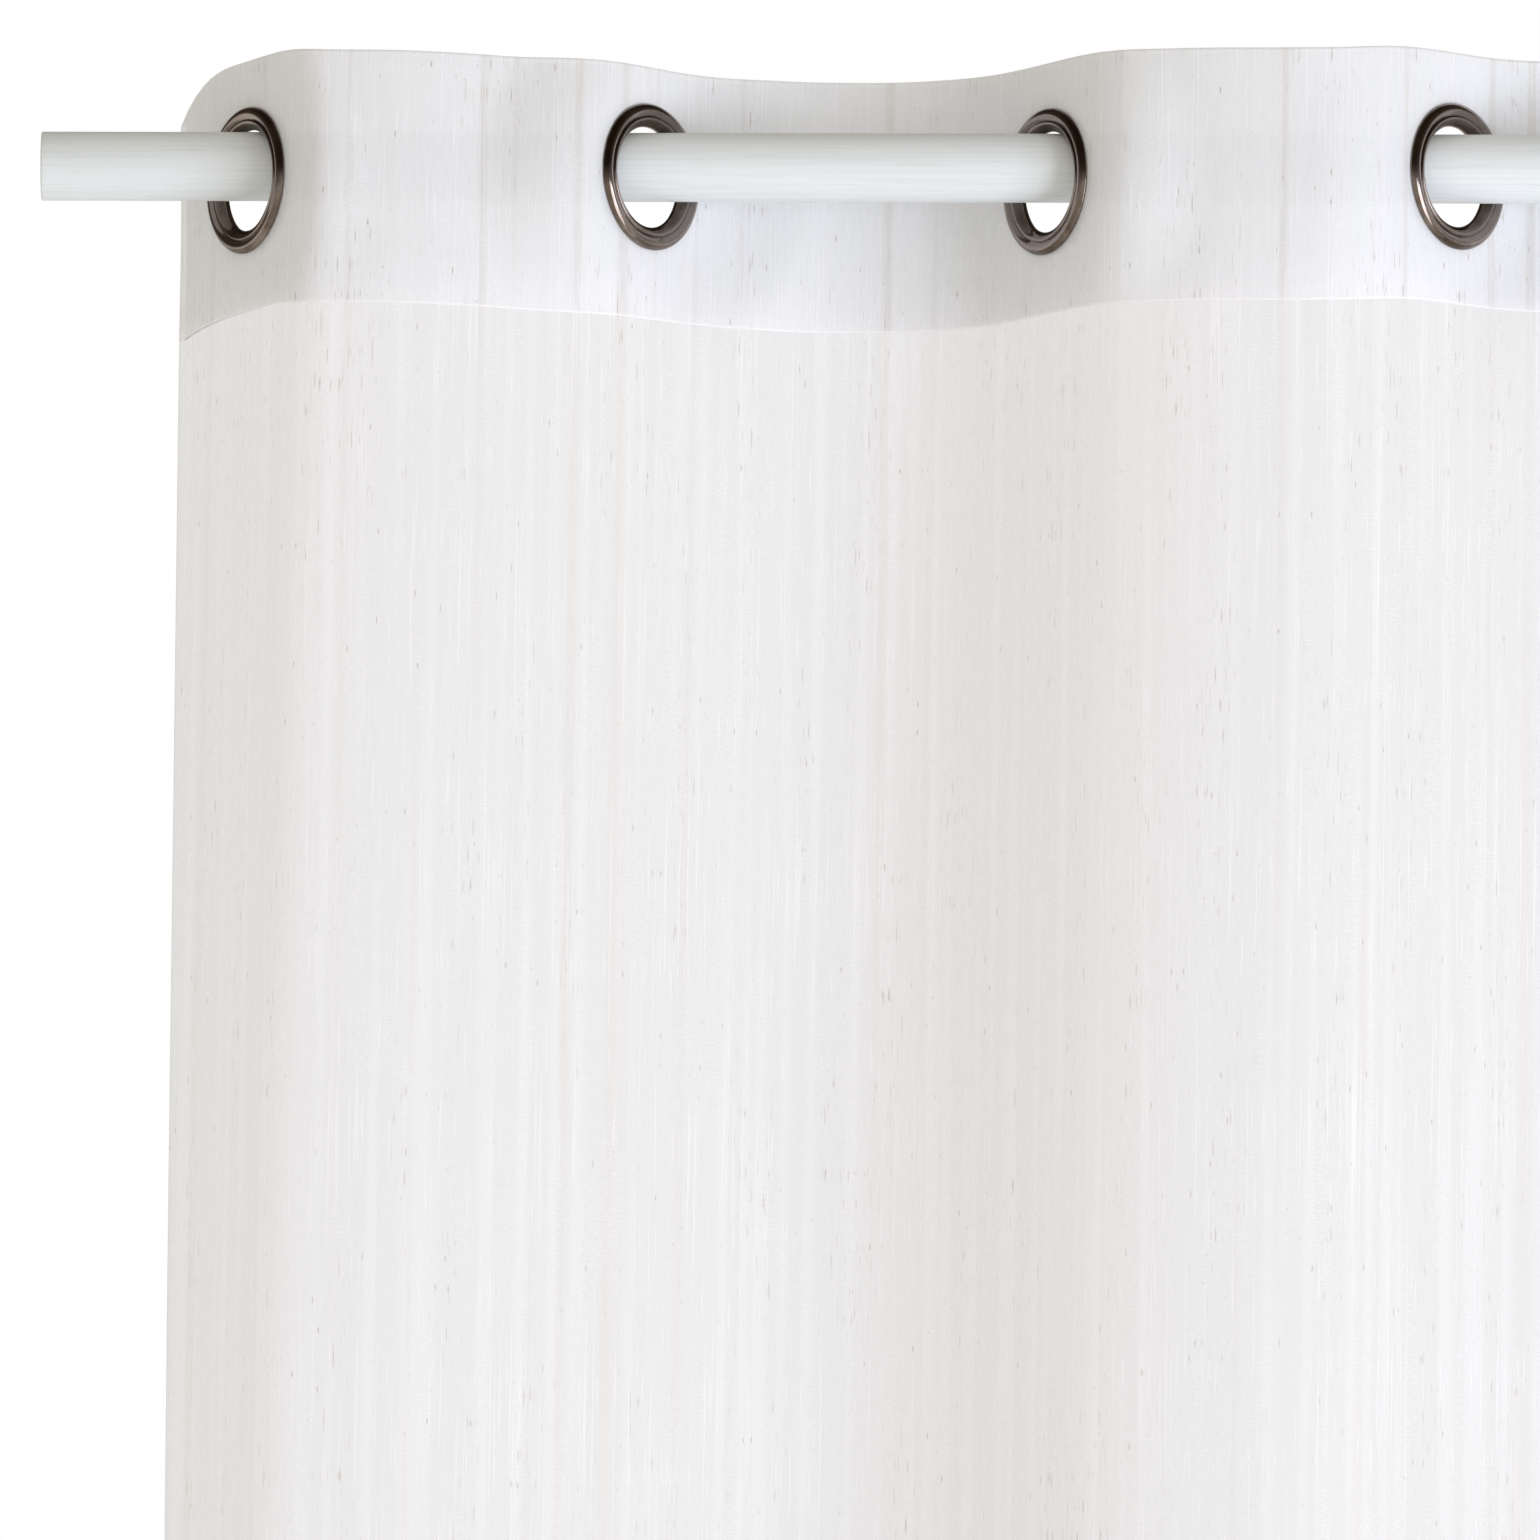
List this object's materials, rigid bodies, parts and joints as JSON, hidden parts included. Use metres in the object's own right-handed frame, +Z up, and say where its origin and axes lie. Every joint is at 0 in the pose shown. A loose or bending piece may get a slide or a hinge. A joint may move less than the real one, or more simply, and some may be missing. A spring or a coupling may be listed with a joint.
{
  "type": "eyelet curtain on a rod",
  "caption": "Sheer slub voile curtain with a doubled heading and metal eyelets, hanging in soft folds from a round whitewashed wooden rod.",
  "frame": {"origin": "on the rod's axis at the middle of its length", "axes": "+X along the rod, +Y back from the curtain's face towards the wall, +Z up"},
  "size_m": [1.313, 0.094, 2.5014],
  "materials": {
    "voile": "sheer slub weave, off-white",
    "voile_doubled": "two layers of sheer slub weave, off-white",
    "black_nickel": "polished dark plate",
    "whitewashed_wood": "satin white wash with faint grain"
  },
  "bodies": {
    "root": {"voile_panel": "voile", "heading_band": "voile_doubled", "rod": "whitewashed_wood", "eyelet_1_front": "black_nickel", "eyelet_1_back": "black_nickel", "eyelet_2_front": "black_nickel", "eyelet_2_back": "black_nickel", "eyelet_3_front": "black_nickel", "eyelet_3_back": "black_nickel", "eyelet_4_front": "black_nickel", "eyelet_4_back": "black_nickel", "eyelet_5_front": "black_nickel", "eyelet_5_back": "black_nickel", "eyelet_6_front": "black_nickel", "eyelet_6_back": "black_nickel", "eyelet_7_front": "black_nickel", "eyelet_7_back": "black_nickel", "eyelet_8_front": "black_nickel", "eyelet_8_back": "black_nickel"}
  },
  "joints": []
}
